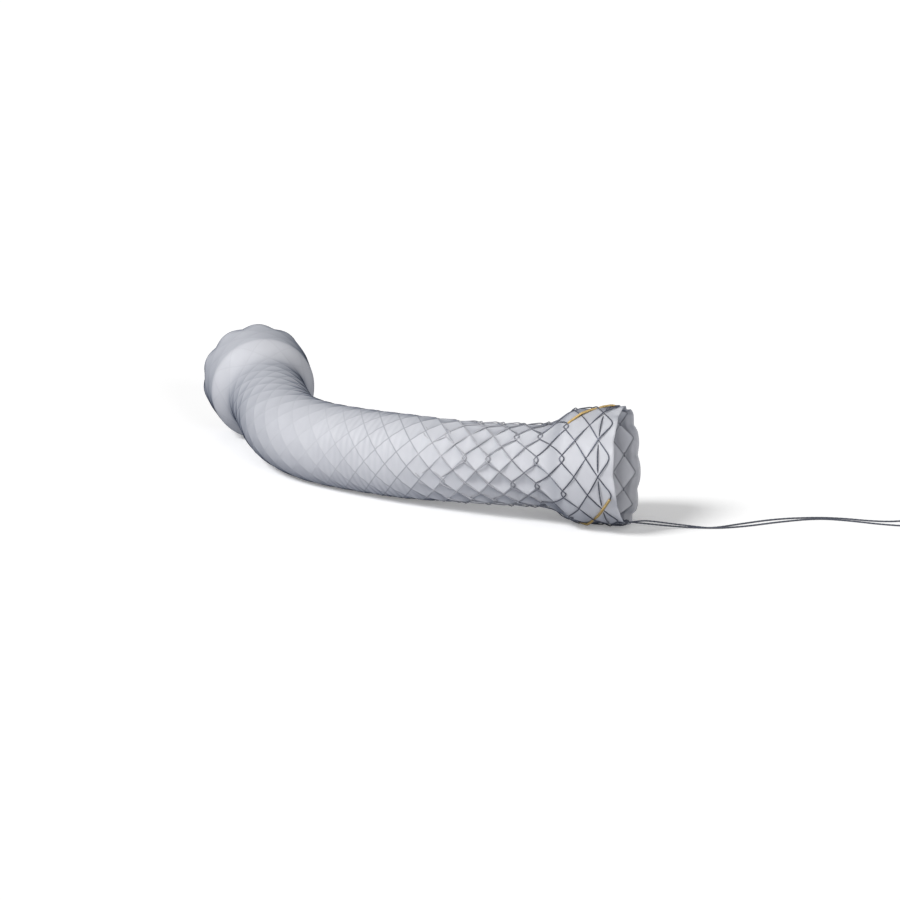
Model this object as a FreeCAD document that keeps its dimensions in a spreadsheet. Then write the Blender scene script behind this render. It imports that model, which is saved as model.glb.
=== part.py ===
import FreeCAD, Part
import math
import os

# Covered stent: a knitted wire tube with two flared heads, lined with a thin
# translucent cover, with marker coils on both heads and a purse suture, a knot
# and a retrieval string on the near one. It lies bent on a table.
# Lengths are in millimetres and angles in degrees.

Vector = FreeCAD.Vector
UP = Vector(0, 0, 1)

SIZES = [
    ("body_diameter", 18.0, "across the wires of the body"),
    ("head_diameter", 26.0, "across the wires at each mouth"),
    ("head_taper", 0.7, "radius that a head loses between its mouth and its shoulder"),
    ("flare_reach", 3.75, "how far the shoulder runs into the body"),
    ("flare_power", 1.7, "how sharply the shoulder turns in"),
    ("cells_around", 10, "mesh cells round the tube"),
    ("head_rows", 4, "half cells along a head, an even number"),
    ("link_rows", 2, "half cells along a shoulder, an even number"),
    ("body_rows", 38, "half cells along the body, an even number"),
    ("head_pitch", 2.44, "half cell length in a head"),
    ("link_pitch", 3.08, "half cell length in a shoulder"),
    ("body_pitch", 2.6, "half cell length in the body"),
    ("rim_margin", 1.0, "cover past the wire bends at each mouth"),
    ("entry_length", 5.0, "straight stretch at the near mouth"),
    ("wide_bend_radius", 156.0, "bend of the front half"),
    ("wide_bend_angle", 24.45, "turn of the front half"),
    ("tight_bend_radius", 43.0, "bend at the belly"),
    ("tight_bend_angle", 36.6, "turn at the belly"),
    ("first_column", -7.5, "angle of a column of bends above the belly side"),
    ("seam_column", 5, "first of the two columns that have no hooks"),
    ("wire_diameter", 0.26, "knitted wire"),
    ("wire_sides", 3, "sides of the wire's section"),
    ("crossing_rise", 0.2, "half the distance between two wires that cross"),
    ("hook_reach", 0.5, "how far a hook passes its crossing"),
    ("hook_half_width", 0.8, "half the opening of a hook"),
    ("rim_bend_reach", 0.35, "length of the rounded tip of a rim bend"),
    ("rim_bend_half_width", 1.0, "half the width of that tip"),
    ("cover_wall", 0.2, "wall of the cover"),
    ("quilt_sag", 0.12, "how far the cover sags in the middle of a cell"),
    ("clearance", 0.05, "between pieces that lie on each other"),
    ("marker_diameter", 0.6, "marker coil over its windings"),
    ("marker_sides", 6, "sides of the marker's section"),
    ("marker_inset", 0.62, "marker kept back from each wire crossing"),
    ("suture_diameter", 0.25, "purse suture"),
    ("suture_sides", 4, "sides of the suture's section"),
    ("knot_diameter", 1.1, "knot at the mouth's edge"),
    ("knot_reach", 0.6, "from the mouth's edge to the middle of the knot"),
    ("knot_inset", 0.4, "from the mesh's mean radius in to the middle of the knot"),
    ("knot_turn", 11.5, "how far round the mouth the knot sits from its notch"),
    ("string_diameter", 0.35, "retrieval string"),
    ("string_sides", 6, "sides of the string's section"),
]

doc = FreeCAD.newDocument("covered_stent")
sheet = doc.addObject("Spreadsheet::Sheet", "Sizes")
for row, (alias, value, meaning) in enumerate(SIZES, start=1):
    sheet.set("A%d" % row, alias)
    sheet.set("B%d" % row, str(value))
    sheet.set("C%d" % row, meaning)
    sheet.setAlias("B%d" % row, alias)
doc.recompute()


def size(alias):
    return float(sheet.get(alias))


CELLS = int(size("cells_around"))
HALF_COLUMNS = 2 * CELLS
COLUMN_STEP = 180.0 / CELLS
HEAD = int(size("head_rows"))
SHOULDER = HEAD + int(size("link_rows"))
LAST = 2 * SHOULDER + int(size("body_rows"))
HEAD_LENGTH = size("rim_margin") + HEAD * size("head_pitch")


# Centreline and profile
def row_distance(row):
    """Distance along the centreline from the near mouth's edge to a row of crossings."""
    near = min(row, LAST - row)
    distance = size("rim_margin") + min(near, HEAD) * size("head_pitch")
    distance += max(0, min(near, SHOULDER) - HEAD) * size("link_pitch")
    distance += max(0, near - SHOULDER) * size("body_pitch")
    return distance if row == near else TOTAL_LENGTH - distance


TOTAL_LENGTH = 2 * HEAD_LENGTH + 2 * size("link_rows") * size("link_pitch")
TOTAL_LENGTH += size("body_rows") * size("body_pitch")


def mesh_radius(distance):
    """Mean radius of the mesh: a slightly conical head, a shoulder that falls away, then the body."""
    from_mouth = min(distance, TOTAL_LENGTH - distance)
    proud = size("crossing_rise") + size("wire_diameter") / 2
    mouth = size("head_diameter") / 2 - proud
    body = size("body_diameter") / 2 - proud
    shoulder = mouth - size("head_taper")
    if from_mouth <= HEAD_LENGTH:
        return mouth - size("head_taper") * from_mouth / HEAD_LENGTH
    past = (from_mouth - HEAD_LENGTH) / size("flare_reach")
    return body + (shoulder - body) * math.exp(-past ** size("flare_power"))


def turn_along(x, y, heading, length, radius):
    """Point and heading after an arc of a radius, or a straight run where the radius is None."""
    if radius is None:
        return x + length * math.cos(heading), y + length * math.sin(heading), heading
    after = heading + length / radius
    x += radius * (math.sin(after) - math.sin(heading))
    y += radius * (math.cos(heading) - math.cos(after))
    return x, y, after


WIDE_LENGTH = size("wide_bend_radius") * math.radians(size("wide_bend_angle"))
TIGHT_LENGTH = size("tight_bend_radius") * math.radians(size("tight_bend_angle"))
STRETCHES = [
    (size("entry_length"), None),
    (WIDE_LENGTH, size("wide_bend_radius")),
    (TIGHT_LENGTH, size("tight_bend_radius")),
    (TOTAL_LENGTH, None),
]


def entry_frame(distance):
    """Centreline point and heading, with x into the near mouth and y to the inside of the bend."""
    x, y, heading = 0.0, 0.0, 0.0
    left = distance
    for length, radius in STRETCHES:
        step = min(left, length)
        x, y, heading = turn_along(x, y, heading, step, radius)
        left -= step
    return x, y, heading


FRONT_X, FRONT_Y, _ = entry_frame(size("entry_length") + WIDE_LENGTH)
FRONT_SLOPE = math.atan2(FRONT_Y, FRONT_X)


def centreline(distance):
    """Centreline point and the level normal to the inside of the bend, with X along the front half."""
    x, y, heading = entry_frame(distance)
    c, s = math.cos(FRONT_SLOPE), math.sin(FRONT_SLOPE)
    bearing = heading - FRONT_SLOPE
    point = Vector(-(x * c + y * s), y * c - x * s, 0)
    return point, Vector(math.sin(bearing), math.cos(bearing), 0)


def radial(distance, angle):
    """Unit vector out of the tube, at an angle above its belly side."""
    _, inside = centreline(distance)
    a = math.radians(angle)
    return inside * -math.cos(a) + UP * math.sin(a)


def on_tube(distance, angle, radius):
    point, _ = centreline(distance)
    return point + radial(distance, angle) * radius


def column_angle(column):
    return size("first_column") + COLUMN_STEP * column


# Polygon solids
SEWING_TOLERANCE = 1e-4


def closed_solid(points, triangles):
    """Solid bounded by flat triangles, whose volume is made positive."""
    shell = Part.Shape()
    shell.makeShapeFromMesh((points, triangles), SEWING_TOLERANCE)
    solid = Part.Solid(shell.Shells[0])
    if solid.Volume < 0:
        solid.reverse()
    return solid


def section_radius(diameter, sides):
    """Corner radius of a polygon with the area of a circle of this diameter."""
    return diameter / 2 * math.sqrt(2 * math.pi / (sides * math.sin(2 * math.pi / sides)))


def polygon_tube(line, outwards, corner, sides, closed):
    """Mitred tube of a polygon section along a line of points; one corner points outwards."""
    count = len(line)
    points, triangles = [], []
    for i, (point, outward) in enumerate(zip(line, outwards)):
        before = line[i - 1] if closed or i > 0 else point * 2 - line[1]
        after = line[(i + 1) % count] if closed or i < count - 1 else point * 2 - line[i - 1]
        arriving = (point - before).normalize()
        leaving = (after - point).normalize()
        along = (arriving + leaving).normalize()
        side = outward.cross(along).normalize()
        lift = along.cross(side)
        stretch = 1 / arriving.dot(along)
        for k in range(sides):
            a = 2 * math.pi * k / sides
            corner_point = point + lift * (corner * math.cos(a)) + side * (corner * math.sin(a) * stretch)
            points.append(tuple(corner_point))
    for i in range(count if closed else count - 1):
        here, there = i * sides, (i + 1) % count * sides
        for k in range(sides):
            m = (k + 1) % sides
            triangles += [(here + k, there + k, there + m), (here + k, there + m, here + m)]
    if not closed:
        end = (count - 1) * sides
        for k in range(1, sides - 1):
            triangles += [(0, k, k + 1), (end, end + k + 1, end + k)]
    return closed_solid(points, triangles)


def add_feature(label, shape):
    feature = doc.addObject("Part::Feature", label)
    feature.Label = label
    feature.Shape = shape
    return feature


# Cover
WIRE_CORNER = section_radius(size("wire_diameter"), int(size("wire_sides")))
WIRE_INWARD = WIRE_CORNER * math.cos(math.pi / size("wire_sides"))
SUTURE_CORNER = section_radius(size("suture_diameter"), int(size("suture_sides")))
SUTURE_ROW = 1


def cover_depth(row):
    """How far the cover's outside lies under the mesh's mean radius at a row."""
    depth = size("crossing_rise") + size("clearance")
    if row == SUTURE_ROW:
        return depth + WIRE_INWARD + 2 * SUTURE_CORNER + size("clearance")
    if min(row, LAST - row) <= SHOULDER:
        return depth + size("marker_diameter") / 2
    return depth + WIRE_INWARD


def cover_point(row, column, inset):
    """Point of the cover, a given depth inside its outer face; rows -1 and LAST + 1 are its edges."""
    if row < 0 or row > LAST:
        distance = 0.0 if row < 0 else TOTAL_LENGTH
        row = min(max(row, 0), LAST)
        sag = 0.0
    else:
        distance = row_distance(row)
        sag = size("quilt_sag") if (row + column) % 2 and 0 < row < LAST else 0.0
    radius = mesh_radius(distance) - cover_depth(row) - sag - inset
    return on_tube(distance, column_angle(column), radius)


def cover_fans(row, column):
    """Corner pairs round the middle of a cell, in order; past a mouth's last row they reach the edge."""
    east, west = (row, column + 1), (row, column - 1)
    deeper, nearer = (row + 1, column), (row - 1, column)
    pairs = []
    if row < LAST:
        pairs += [(east, deeper), (deeper, west)]
    else:
        pairs += [(east, (row + 1, column + 1)), ((row + 1, column - 1), west)]
    if row > 0:
        pairs += [(west, nearer), (nearer, east)]
    else:
        pairs += [(west, (row - 1, column - 1)), ((row - 1, column + 1), east)]
    return pairs


def make_cover():
    """Quilted wall: each mesh cell is a shallow pyramid, and both edges are scalloped between bends."""
    points, index, triangles = [], {}, []

    def vertex(row, column, inset):
        key = (row, column % HALF_COLUMNS, inset)
        if key not in index:
            index[key] = len(points)
            points.append(tuple(cover_point(row, column, inset)))
        return index[key]

    wall = size("cover_wall")
    for row in range(LAST + 1):
        for column in range((row + 1) % 2, HALF_COLUMNS, 2):
            for first, second in cover_fans(row, column):
                for inset in (0.0, wall):
                    fan = [vertex(row, column, inset), vertex(*first, inset), vertex(*second, inset)]
                    triangles.append(tuple(fan if inset else reversed(fan)))
    for row in (0, LAST):
        outer_edge = row - 1 if row == 0 else row + 1
        for column in range(HALF_COLUMNS):
            here = (outer_edge if column % 2 == 0 else row, column)
            there = (row if column % 2 == 0 else outer_edge, column + 1)
            a, b = vertex(*here, 0.0), vertex(*there, 0.0)
            c, d = vertex(*there, wall), vertex(*here, wall)
            edge = [(a, b, c), (a, c, d)]
            triangles += edge if row else [tuple(reversed(t)) for t in edge]
    return closed_solid(points, triangles)


# Knitted wires
def is_hook(row, column):
    """Whether the two wires that meet here hook round each other instead of crossing."""
    if row in (0, LAST):
        return True
    if row % 2:
        return False
    if row in (HEAD, SHOULDER, LAST - SHOULDER, LAST - HEAD):
        return True
    if not SHOULDER < row < LAST - SHOULDER:
        return False
    cell = column // 2 % CELLS
    if cell in (size("seam_column"), size("seam_column") + 1):
        return False
    return (cell + (row + 2) // 4) % 2 == 0


def wire_loops():
    """Closed walks of the wires over the mesh, each a list of (row, column, direction arriving)."""
    seen, loops = set(), []
    for row in range(LAST + 1):
        for column in range(row % 2, HALF_COLUMNS, 2):
            for direction in (1, -1):
                start = (row, column, direction)
                if start in seen or (row in (0, LAST) and direction != (1 if row else -1)):
                    continue
                loop, state = [], start
                while state not in seen:
                    seen.add(state)
                    loop.append(state)
                    at, col, going = state
                    if is_hook(at, col):
                        going = -going
                    state = (at + going, (col + 1) % HALF_COLUMNS, going)
                loops.append(loop)
    return loops


def wire_line(loop):
    """Corner points of a wire: one at a crossing, three at a hook or a rim bend, with its over and under."""
    line, outwards = [], []
    for row, column, direction in loop:
        distance, angle = row_distance(row), column_angle(column)
        radius = mesh_radius(distance)
        rise = size("crossing_rise") * direction * (1 if row % 2 == 0 else -1)
        if row in (0, LAST):
            spread = math.degrees(size("rim_bend_half_width") / radius)
            back = -direction * size("rim_bend_reach")
            stops = [(back, -spread, 0.0), (0.0, 0.0, 0.0), (back, spread, 0.0)]
        elif is_hook(row, column):
            spread = math.degrees(size("hook_half_width") / radius)
            reach = direction * size("hook_reach")
            stops = [(0.0, -spread, rise), (reach, 0.0, 0.0), (0.0, spread, -rise)]
        else:
            stops = [(0.0, 0.0, rise)]
        for shift, turn, lift in stops:
            line.append(on_tube(distance + shift, angle + turn, mesh_radius(distance + shift) + lift))
            outwards.append(radial(distance + shift, angle + turn))
    return line, outwards


def wire_name(loop, taken):
    """Name of a wire after the stretch of the mesh that it knits."""
    low, high = min(state[0] for state in loop), max(state[0] for state in loop)
    places = [
        ("near_head_wire", high <= HEAD),
        ("near_shoulder_wire", high <= SHOULDER),
        ("far_head_wire", low >= LAST - HEAD),
        ("far_shoulder_wire", low >= LAST - SHOULDER),
        ("body_wire", True),
    ]
    stem = next(name for name, fits in places if fits)
    taken[stem] = taken.get(stem, 0) + 1
    return "%s_%d" % (stem, taken[stem])


# Marker coils
MARKER_STARTS = (-4, 4, 10)


def wire_corner(row, column, direction, arriving):
    """Corner of a wire where a leg ends: its crossing, or the side of a hook or bend that it joins."""
    if is_hook(row, column) and not arriving:
        direction = -direction
    line, _ = wire_line([(row, column, direction)])
    return line[0] if arriving else line[-1]


def add_prism(name, radius, length, placement):
    """Straight prism along Z whose corner radius is an expression of the sheet."""
    prism = doc.addObject("Part::Prism", name)
    prism.setExpression("Polygon", "Sizes.marker_sides")
    prism.setExpression("Circumradius", radius)
    prism.Height = length
    prism.Placement = placement
    return prism


def add_marker(label, hook_row, hook_column):
    """Coil on one leg of a head wire, from its hook to its rim bend, parted at each crossing."""
    step = -1 if hook_row == HEAD else 1
    bore_radius = (WIRE_CORNER + size("clearance")) / math.cos(math.pi / size("marker_sides"))
    sleeves = []
    for k in range(HEAD):
        row, column = hook_row + k * step, hook_column + k
        start = wire_corner(row, column, step, False)
        end = wire_corner(row + step, column + 1, step, True)
        along = (end - start).normalize()
        length = start.distanceToPoint(end) - 2 * size("marker_inset")
        foot = start + along * size("marker_inset")
        placement = FreeCAD.Placement(foot, FreeCAD.Rotation(UP, along))
        name = "%s_%d" % (label, k + 1)
        sleeve = doc.addObject("Part::Cut", name)
        sleeve.Base = add_prism(name + "_coil", "Sizes.marker_diameter / 2", length, placement)
        sleeve.Tool = add_prism(name + "_bore", "%.6f" % bore_radius, length, placement)
        sleeves.append(sleeve)
    marker = doc.addObject("Part::Compound", label)
    marker.Label = label
    marker.Links = sleeves
    return marker


# Purse suture, tie and knot
def make_suture():
    """Closed ring of suture in the cover's groove, under the first row of crossings."""
    distance = row_distance(SUTURE_ROW)
    radius = mesh_radius(distance) - cover_depth(SUTURE_ROW) + SUTURE_CORNER + size("clearance")
    angles = [column_angle(column) for column in range(HALF_COLUMNS)]
    line = [on_tube(distance, angle, radius) for angle in angles]
    outwards = [radial(distance, angle) for angle in angles]
    return polygon_tube(line, outwards, SUTURE_CORNER, int(size("suture_sides")), True)


TIE_COLUMN = -3
MOUTH_RADIUS = mesh_radius(row_distance(0)) - cover_depth(0)


def knot_centre():
    """Middle of the knot, just outside the near mouth's edge beside the notch that the tie crosses."""
    radius = mesh_radius(0.0) - size("knot_inset")
    return on_tube(-size("knot_reach"), column_angle(TIE_COLUMN) + size("knot_turn"), radius)


def make_tie():
    """Tail of the suture from its ring out over a notch of the mouth's edge to the knot."""
    angle = column_angle(TIE_COLUMN)
    lift = SUTURE_CORNER + size("clearance")
    notch, ring = row_distance(0), row_distance(SUTURE_ROW)
    ring_radius = mesh_radius(ring) - cover_depth(SUTURE_ROW)
    start = ring - SUTURE_CORNER - size("clearance")
    slope = (MOUTH_RADIUS - ring_radius) / (ring - notch)
    line = [on_tube(start, angle, ring_radius + slope * (ring - start) + lift)]
    line.append(on_tube(notch, angle, MOUTH_RADIUS + lift))
    towards = (knot_centre() - line[-1]).normalize()
    line.append(knot_centre() - towards * (size("knot_diameter") / 2 + size("clearance")))
    outwards = [radial(start, angle)] * len(line)
    return polygon_tube(line, outwards, SUTURE_CORNER, int(size("suture_sides")), False)


def add_knot(label):
    knot = doc.addObject("Part::Sphere", label)
    knot.Label = label
    knot.setExpression("Radius", "Sizes.knot_diameter / 2")
    return knot


# Retrieval string
# The string is one loop: out from the knot over the table, round a small fold and back.
# Corners of its route on the table, with the string's middle as the third number.
STRING_HEIGHT = 0.2
STRING_ROUTE = [
    (65.9, -20.6, 2.2), (67.9, -17.6, 1.4), (70.2, -14.3, 0.6), (73.6, -11.6, STRING_HEIGHT),
    (78.0, -9.4, STRING_HEIGHT), (82.8, -4.2, STRING_HEIGHT), (88.0, 3.6, STRING_HEIGHT),
    (94.0, 10.4, STRING_HEIGHT), (100.6, 12.0, STRING_HEIGHT), (106.6, 12.4, STRING_HEIGHT),
    (111.9, 13.7, STRING_HEIGHT), (115.3, 15.0, STRING_HEIGHT), (117.2, 17.2, STRING_HEIGHT),
    (116.6, 19.9, STRING_HEIGHT), (114.0, 20.8, STRING_HEIGHT), (111.4, 19.2, STRING_HEIGHT),
    (108.6, 15.9, STRING_HEIGHT), (104.4, 14.1, STRING_HEIGHT), (98.6, 13.2, STRING_HEIGHT),
    (93.2, 11.0, STRING_HEIGHT), (86.4, 5.4, STRING_HEIGHT), (81.2, -2.6, STRING_HEIGHT),
    (77.5, -9.0, STRING_HEIGHT), (72.8, -11.0, STRING_HEIGHT), (69.2, -13.4, 0.6),
    (66.6, -16.8, 1.4), (64.7, -20.1, 2.2),
]
LEAVING = Vector(0.68, 0.66, -0.3)
COMING_BACK = Vector(-0.02, 0.95, -0.3)
BEND_SHARE = 0.45


def string_corners(knot_point):
    """Route with both ends on the knot's surface."""
    reach = size("knot_diameter") / 2 + size("clearance")
    first = knot_point + Vector(LEAVING).normalize() * reach
    last = knot_point + Vector(COMING_BACK).normalize() * reach
    return [first] + [Vector(*corner) for corner in STRING_ROUTE] + [last]


def rounded_path(corners):
    """Straight runs joined by tangent arcs, each as large as its two runs allow."""
    edges, radii, at = [], [], corners[0]
    for before, corner, after in zip(corners, corners[1:], corners[2:]):
        arriving, leaving = (corner - before), (after - corner)
        reach = BEND_SHARE * min(arriving.Length, leaving.Length)
        arriving.normalize()
        leaving.normalize()
        half_turn = arriving.getAngle(leaving) / 2
        radii.append(reach / math.tan(half_turn))
        start, end = corner - arriving * reach, corner + leaving * reach
        inward = (leaving - arriving).normalize()
        bulge = radii[-1] / math.cos(half_turn) - radii[-1]
        edges.append(Part.LineSegment(at, start).toShape())
        edges.append(Part.Arc(start, corner + inward * bulge, end).toShape())
        at = end
    edges.append(Part.LineSegment(at, corners[-1]).toShape())
    return Part.Wire(edges), radii


def make_string(corners):
    """Polygon section swept along the rounded route; its volume is held against section times length."""
    path, radii = rounded_path(corners)
    sides = int(size("string_sides"))
    corner = section_radius(size("string_diameter"), sides)
    along = (corners[1] - corners[0]).normalize()
    side = UP.cross(along).normalize()
    lift = along.cross(side)
    ring = [2 * math.pi * (k + 0.5) / sides for k in range(sides)]
    rim = [corners[0] + lift * (corner * math.cos(a)) + side * (corner * math.sin(a)) for a in ring]
    section = Part.makePolygon(rim + rim[:1])
    string = path.makePipeShell([section], True, True)
    expected = Part.Face(section).Area * path.Length
    print("string length %.1f, smallest radius %.2f, largest %.1f" % (path.Length, min(radii), max(radii)))
    print("string volume %.3f, section times length %.3f" % (string.Volume, expected))
    return string


# Build
cover = add_feature("cover", make_cover())
pieces = [cover]
names = {}
for loop in wire_loops():
    line, outwards = wire_line(loop)
    wire = polygon_tube(line, outwards, WIRE_CORNER, int(size("wire_sides")), True)
    pieces.append(add_feature(wire_name(loop, names), wire))
for number, column in enumerate(MARKER_STARTS, start=1):
    pieces.append(add_marker("near_marker_coil_%d" % number, HEAD, column))
    pieces.append(add_marker("far_marker_coil_%d" % number, LAST - HEAD, column))
pieces.append(add_feature("purse_suture", Part.makeCompound([make_suture(), make_tie()])))
knot = add_knot("string_knot")
doc.recompute()


# Rest on the table
SETTLING_STEPS = 8


def feet(first_row, last_row):
    """Outermost points of the mesh over a range of rows."""
    points = []
    for row in range(first_row, last_row + 1):
        distance = row_distance(row)
        proud = WIRE_CORNER + (size("crossing_rise") if 0 < row < LAST else 0.0)
        for column in range(row % 2, HALF_COLUMNS, 2):
            points.append(on_tube(distance, column_angle(column), mesh_radius(distance) + proud))
    return points


def lowest(points, turn):
    return min((turn.multVec(point) for point in points), key=lambda point: point.z)


def resting_turn():
    """Turn that lets both heads and the belly of the bend touch the table together."""
    groups = [feet(0, HEAD), feet(SHOULDER, LAST - SHOULDER), feet(LAST - HEAD, LAST)]
    turn = FreeCAD.Rotation()
    for _ in range(SETTLING_STEPS):
        near, belly, far = [lowest(group, turn) for group in groups]
        normal = (belly - near).cross(far - near).normalize()
        if normal.z < 0:
            normal = normal * -1
        turn = FreeCAD.Rotation(normal, UP).multiply(turn)
    return turn


def lay_down(pieces):
    """Turn the pieces to rest, then put the origin under the middle of their box, on the table."""
    turn = resting_turn()
    box = FreeCAD.BoundBox()
    for piece in pieces:
        piece.Placement = FreeCAD.Placement(Vector(), turn)
        box.add(piece.Shape.BoundBox)
    shift = Vector(-box.Center.x, -box.Center.y, -box.ZMin)
    for piece in pieces:
        piece.Placement = FreeCAD.Placement(shift, turn)
    return FreeCAD.Placement(shift, turn)


rest = lay_down(pieces)
knot.Placement = FreeCAD.Placement(rest.multVec(knot_centre()), FreeCAD.Rotation())
string = add_feature("retrieval_string", make_string(string_corners(rest.multVec(knot_centre()))))
pieces += [knot, string]
doc.recompute()

# Checks and export
for item in doc.Objects:
    if "Invalid" in item.State or "Error" in item.State:
        raise RuntimeError("%s failed: %s" % (item.Name, item.State))
for piece in pieces:
    if piece.Shape.isNull() or not piece.Shape.isValid():
        raise RuntimeError("%s has no valid shape" % piece.Label)
os.makedirs("parts", exist_ok=True)
for piece in pieces:
    piece.Shape.exportStep("parts/%s.step" % piece.Label)
    print("%s: %d solids, %.2f mm3" % (piece.Label, len(piece.Shape.Solids), piece.Shape.Volume))
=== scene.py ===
import math

import bpy
import numpy as np
from bpy.props import FloatProperty, FloatVectorProperty, IntProperty, PointerProperty
from mathutils import Matrix, Vector


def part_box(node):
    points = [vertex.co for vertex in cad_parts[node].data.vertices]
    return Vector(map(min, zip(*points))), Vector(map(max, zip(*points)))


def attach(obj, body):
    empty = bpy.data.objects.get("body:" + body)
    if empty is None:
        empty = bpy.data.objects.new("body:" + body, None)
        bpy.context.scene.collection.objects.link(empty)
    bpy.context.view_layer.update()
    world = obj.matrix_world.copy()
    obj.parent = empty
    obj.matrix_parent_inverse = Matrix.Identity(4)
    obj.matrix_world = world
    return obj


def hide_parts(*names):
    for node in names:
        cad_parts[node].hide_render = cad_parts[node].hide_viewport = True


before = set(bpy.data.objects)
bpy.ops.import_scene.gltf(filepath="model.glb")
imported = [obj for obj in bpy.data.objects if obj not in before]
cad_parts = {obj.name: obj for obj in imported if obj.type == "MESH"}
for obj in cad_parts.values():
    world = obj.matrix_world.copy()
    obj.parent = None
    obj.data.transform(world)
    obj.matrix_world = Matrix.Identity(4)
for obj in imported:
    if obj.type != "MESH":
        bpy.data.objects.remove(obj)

bl_info = {
    "name": "Covered Stent",
    "version": (1, 0, 0),
    "blender": (4, 5, 0),
    "location": "View3D > Sidebar > Covered Stent",
    "description": "Knitted stent with a dip coated cover, marker coils, purse suture and retrieval string",
    "category": "Object",
}

BODY = "root"
MM = 0.001
UP = np.array([0.0, 0.0, 1.0])


# Colours
def linear(hex_colour):
    """Linear RGBA of an sRGB hex value."""
    parts = np.array([int(hex_colour[i:i + 2], 16) for i in (1, 3, 5)]) / 255
    parts = np.where(parts <= 0.04045, parts / 12.92, ((parts + 0.055) / 1.055) ** 2.4)
    return (*parts.tolist(), 1.0)


# Sizes and colours that a user would change
def length_property(name, millimetres, description):
    """Length, with its default given in millimetres."""
    return FloatProperty(name=name, description=description, default=millimetres * MM, unit="LENGTH")


def angle_property(name, degrees, description):
    """Angle, with its default given in degrees."""
    return FloatProperty(name=name, description=description, default=math.radians(degrees), unit="ROTATION")


def colour_property(name, hex_colour, description):
    """Colour, with its default given as an sRGB hex value."""
    return FloatVectorProperty(
        name=name, description=description, default=linear(hex_colour), size=4, subtype="COLOR")


class StentSizes(bpy.types.PropertyGroup):
    """Sizes of the knitted tube and its cover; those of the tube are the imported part's own."""

    body_diameter: length_property("Body diameter", 18, "Across the wires of the body")
    head_diameter: length_property("Head diameter", 26, "Across the wires at each mouth")
    head_taper: length_property("Head taper", 0.7, "Radius that a head loses to its shoulder")
    flare_reach: length_property("Flare reach", 3.75, "How far a shoulder runs into the body")
    flare_power: FloatProperty(
        name="Flare power", description="How sharply a shoulder turns in", default=1.7)
    cells_around: IntProperty(name="Cells around", description="Mesh cells round the tube", default=10)
    head_rows: IntProperty(name="Head rows", description="Half cells along a head", default=4)
    link_rows: IntProperty(name="Shoulder rows", description="Half cells along a shoulder", default=2)
    body_rows: IntProperty(name="Body rows", description="Half cells along the body", default=38)
    head_pitch: length_property("Head pitch", 2.44, "Half cell length in a head")
    link_pitch: length_property("Shoulder pitch", 3.08, "Half cell length in a shoulder")
    body_pitch: length_property("Body pitch", 2.6, "Half cell length in the body")
    rim_margin: length_property("Rim margin", 1.0, "Cover past the wire bends at a mouth")
    entry_length: length_property("Entry length", 5, "Straight stretch at the near mouth")
    wide_radius: length_property("Wide bend radius", 156, "Bend of the front half")
    wide_angle: angle_property("Wide bend angle", 24.45, "Turn of the front half")
    tight_radius: length_property("Tight bend radius", 43, "Bend at the belly")
    tight_angle: angle_property("Tight bend angle", 36.6, "Turn at the belly")
    first_column: angle_property("First column", -7.5, "Angle of a column of bends above the belly side")
    seam_column: IntProperty(
        name="Seam column", description="First of the two columns that have no hooks", default=5)
    rest_turn: angle_property("Rest turn", 10.5303, "Roll that lays both heads and the belly on the table")
    rest_bearing: angle_property("Rest bearing", -18.8582, "Direction of the level axis of that roll")
    wire_diameter: length_property("Wire diameter", 0.26, "Knitted wire")
    crossing_rise: length_property("Crossing rise", 0.2, "Half the distance between two wires that cross")
    hook_reach: length_property("Hook reach", 0.5, "How far a hook passes its crossing")
    hook_half_width: length_property("Hook half width", 0.8, "Half the opening of a hook")
    rim_bend_reach: length_property("Rim bend reach", 0.35, "Length of the rounded tip of a rim bend")
    rim_bend_half_width: length_property("Rim bend half width", 1.0, "Half the width of that tip")
    cover_wall: length_property("Cover wall", 0.2, "Wall of the cover")
    cover_seat: length_property(
        "Cover seat", 0.1, "How far the cover's face lies under the mesh's mean radius at the near head")
    cover_film: length_property(
        "Cover film", 0.5, "How far it stands over that radius at the far end, which was dipped last")
    head_sag: length_property("Head sag", 0.25, "How far the cover sags in a cell of a head")
    body_sag: length_property("Body sag", 0.7, "How far the cover sags in a cell of the body")
    marker_diameter: length_property("Marker diameter", 0.58, "Marker coil over its windings")
    marker_winding: length_property("Marker winding", 0.17, "Width of one winding of a marker coil")
    suture_diameter: length_property("Suture diameter", 0.28, "Purse suture")
    string_diameter: length_property("String diameter", 0.35, "Retrieval string")


class StentColours(bpy.types.PropertyGroup):
    """Colours of the stent's finishes and of the table."""

    cover: colour_property("Cover", "#E5E5E8", "Milky silicone")
    cover_shade: colour_property("Cover shade", "#D6D6DA", "Thinner silicone between the wires")
    film: colour_property("Film", "#EEEFF1", "Light that goes straight through the cover's outer film")
    wire_veil: colour_property("Wire veil", "#6E717C", "Wire seen through the silicone")
    wire: colour_property("Wire", "#474A55", "Oxidised nickel titanium")
    wire_glint: colour_property("Wire glint", "#8A8E9C", "Paler patches of that oxide")
    marker: colour_property("Marker", "#BFA570", "Gold")
    thread: colour_property("Thread", "#343844", "Dyed braided polyester")
    thread_rub: colour_property("Thread rub", "#7C8090", "Filaments of that thread where it rubs")
    floor: colour_property("Floor", "#C9CBD0", "Pale table")


# Shape of the knitted tube
def unit(vectors):
    """Vectors along the last axis, each divided by its length."""
    return vectors / np.linalg.norm(vectors, axis=-1, keepdims=True)


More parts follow.
